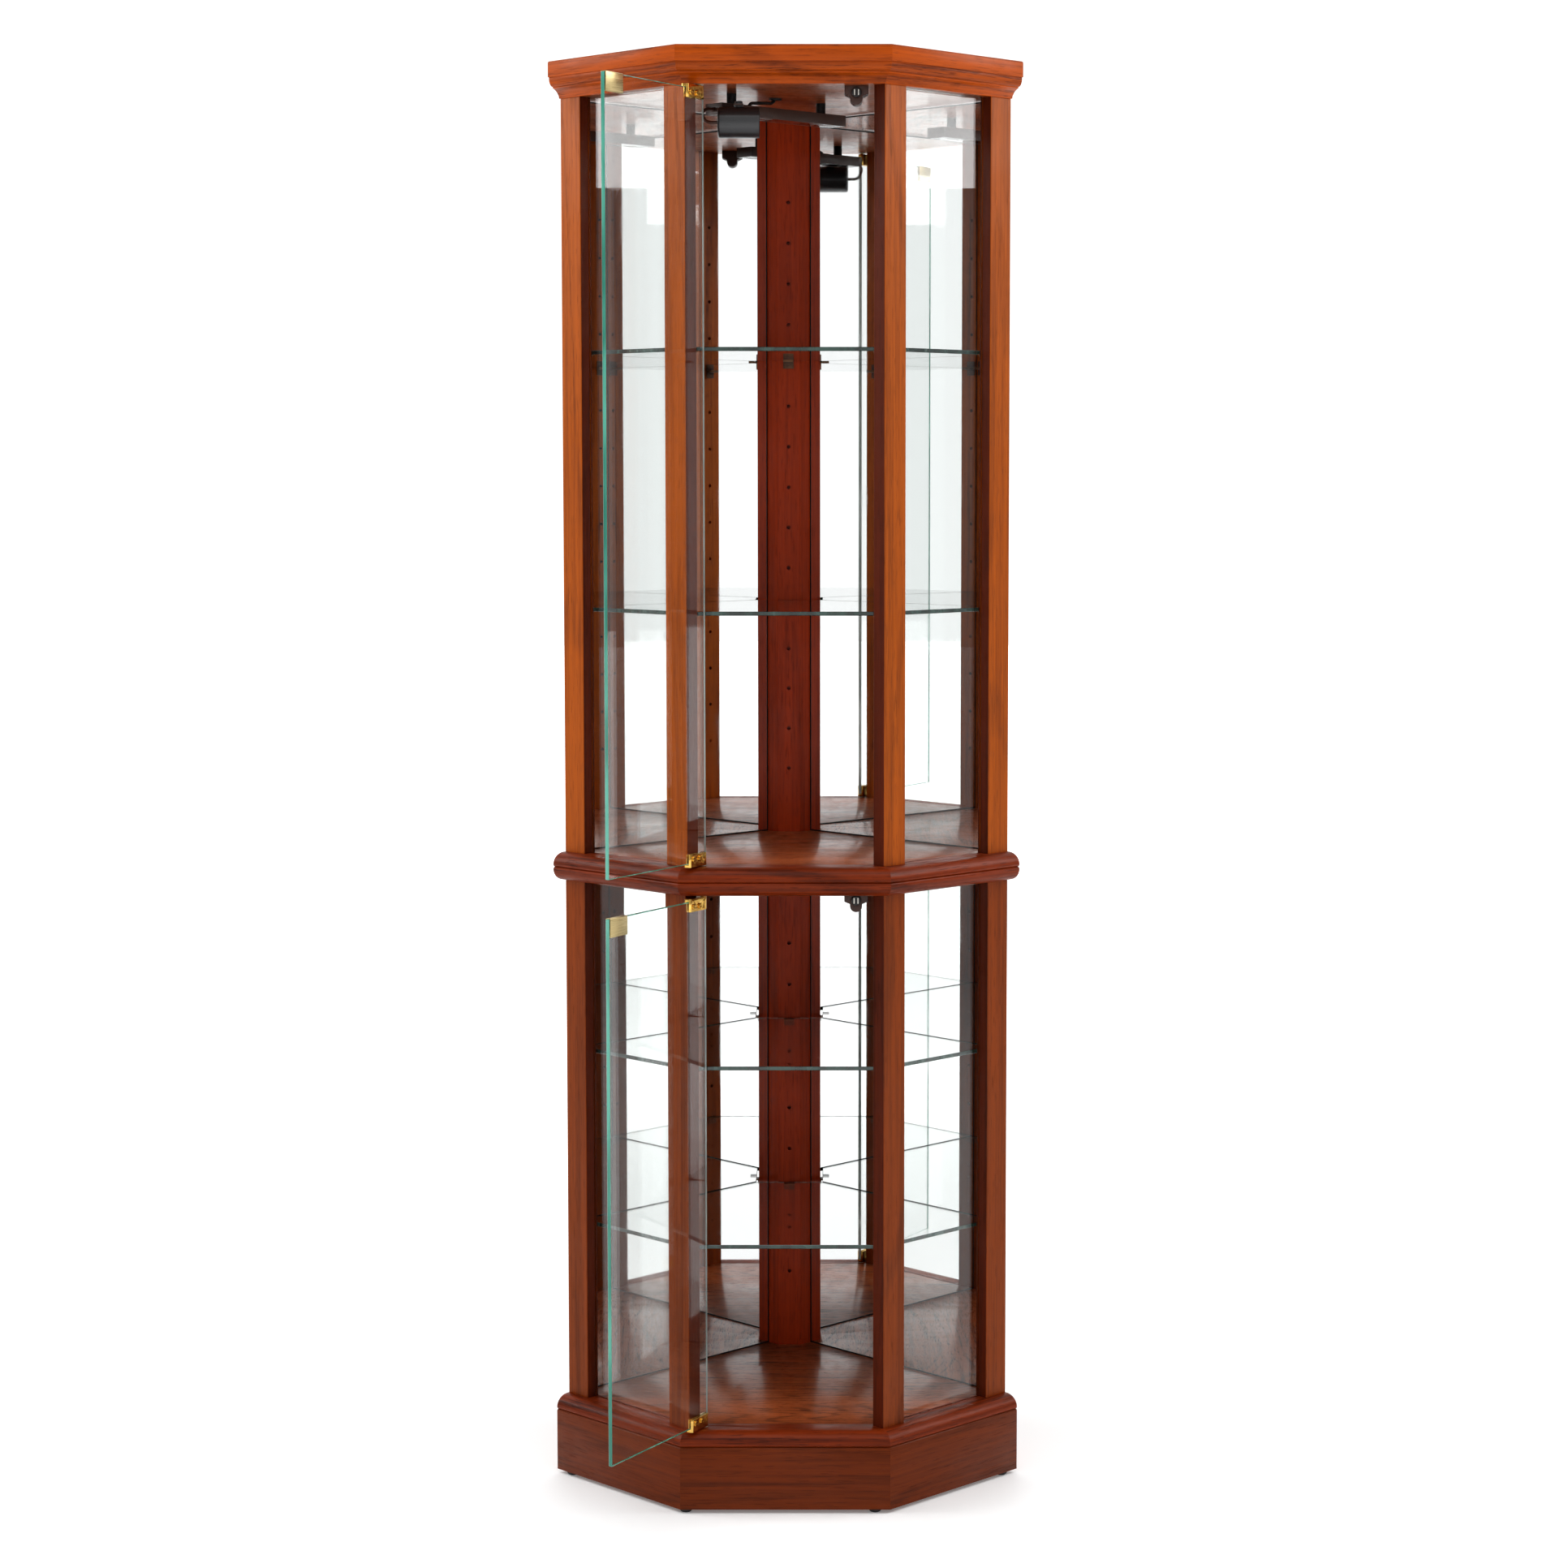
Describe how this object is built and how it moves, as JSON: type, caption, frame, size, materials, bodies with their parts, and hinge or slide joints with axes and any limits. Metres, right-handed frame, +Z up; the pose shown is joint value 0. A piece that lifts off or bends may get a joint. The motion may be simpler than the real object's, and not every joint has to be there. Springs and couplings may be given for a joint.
{
  "type": "tower display case",
  "caption": "Corner curio cabinet in two stacked modules: mirrored back walls, glass side panels, frameless glass doors on brass pivot hinges, glass shelves and a ceiling light.",
  "frame": {"origin": "centre of the footprint on the floor, with both doors standing open", "axes": "+Z up, +Y towards the room corner at the back, +X to the right of someone facing the doors"},
  "size_m": [0.5954, 0.6164, 1.806],
  "materials": {
    "beech": "plain sawn beech",
    "black_can": "satin black",
    "black_cord": "smooth flex",
    "black_plastic": "fine textured",
    "bronze_clips": "dark bronze",
    "bronze_rail": "satin dark bronze",
    "brown_cord": "smooth flex",
    "brown_plastic": "satin dark brown",
    "brushed_brass": "pale brushed",
    "clear_glass": "polished float glass with a green edge",
    "deck_veneer": "glossy lacquer over open-grained veneer",
    "hardboard": "plain brown hardboard",
    "lamp_glass": "clear lens over a reflector",
    "magnet": "plated",
    "mirror": "silvered glass",
    "nylon": "plain",
    "polished_brass": "polished",
    "spring_steel": "bright",
    "stained_wood": "satin lacquer over walnut stain",
    "zinc_fixings": "zinc plated"
  },
  "bodies": {
    "case": {"back_panels": "hardboard", "base_back_rails": "stained_wood", "base_corner_blocks": "beech", "base_front_fascia": "stained_wood", "base_left_fascia": "stained_wood", "base_right_fascia": "stained_wood", "catch_springs": "spring_steel", "crown_front": "stained_wood", "crown_left": "stained_wood", "crown_right": "stained_wood", "floor_glides": "black_plastic", "joinery_dowels": "beech", "junction_box": "black_plastic", "lamp_bracket": "bronze_rail", "lamp_lead": "brown_cord", "light_cable": "black_cord", "light_mountings": "zinc_fixings", "light_rail": "bronze_rail", "lower_catch_housing": "brown_plastic", "lower_corner_post": "stained_wood", "lower_deck": "deck_veneer", "lower_front_left_post": "stained_wood", "lower_front_right_post": "stained_wood", "lower_mirror_left": "mirror", "lower_mirror_right": "mirror", "lower_outer_left_post": "stained_wood", "lower_outer_right_post": "stained_wood", "lower_shelf_1": "clear_glass", "lower_shelf_2": "clear_glass", "lower_side_glass_left": "clear_glass", "lower_side_glass_right": "clear_glass", "lower_top": "deck_veneer", "pivot_bushes": "nylon", "shelf_supports": "bronze_clips", "upper_catch_housing": "brown_plastic", "upper_corner_post": "stained_wood", "upper_deck": "deck_veneer", "upper_front_left_post": "stained_wood", "upper_front_right_post": "stained_wood", "upper_mirror_left": "mirror", "upper_mirror_right": "mirror", "upper_outer_left_post": "stained_wood", "upper_outer_right_post": "stained_wood", "upper_shelf_1": "clear_glass", "upper_shelf_2": "clear_glass", "upper_side_glass_left": "clear_glass", "upper_side_glass_right": "clear_glass", "upper_top": "deck_veneer"},
    "lower_door": {"lower_door_bottom_hinge": "polished_brass", "lower_door_glass": "clear_glass", "lower_door_strike": "brushed_brass", "lower_door_top_hinge": "polished_brass"},
    "upper_door": {"upper_door_bottom_hinge": "polished_brass", "upper_door_glass": "clear_glass", "upper_door_strike": "brushed_brass", "upper_door_top_hinge": "polished_brass"},
    "lower_plunger": {"lower_catch_plunger": "magnet"},
    "upper_plunger": {"upper_catch_plunger": "magnet"},
    "lamp": {"lamp_can": "black_can", "lamp_bulb": "lamp_glass"}
  },
  "joints": [
    {"name": "lower_door_hinge", "type": "hinge", "parent": "case", "child": "lower_door", "pos_m": [-0.102, -0.12585, 0.102], "axis": [0, 0, -1], "range_deg": [-120, 15]},
    {"name": "upper_door_hinge", "type": "hinge", "parent": "case", "child": "upper_door", "pos_m": [-0.102, -0.12585, 0.809], "axis": [0, 0, -1], "range_deg": [-120, 15]},
    {"name": "lower_catch_push", "type": "slide", "parent": "case", "child": "lower_plunger", "axis": [0, 1, 0], "range_m": [0, 0.0025], "stiffness_N_per_m": 800, "springref_m": -0.004, "deforming": ["catch_springs"]},
    {"name": "upper_catch_push", "type": "slide", "parent": "case", "child": "upper_plunger", "axis": [0, 1, 0], "range_m": [0, 0.0025], "stiffness_N_per_m": 800, "springref_m": -0.004, "deforming": ["catch_springs"]},
    {"name": "lamp_swivel", "type": "hinge", "parent": "case", "child": "lamp", "pos_m": [-0.056, -0.08885, 1.742], "axis": [0, 0, -1], "range_deg": [-60, 60], "deforming": ["lamp_lead"]}
  ]
}
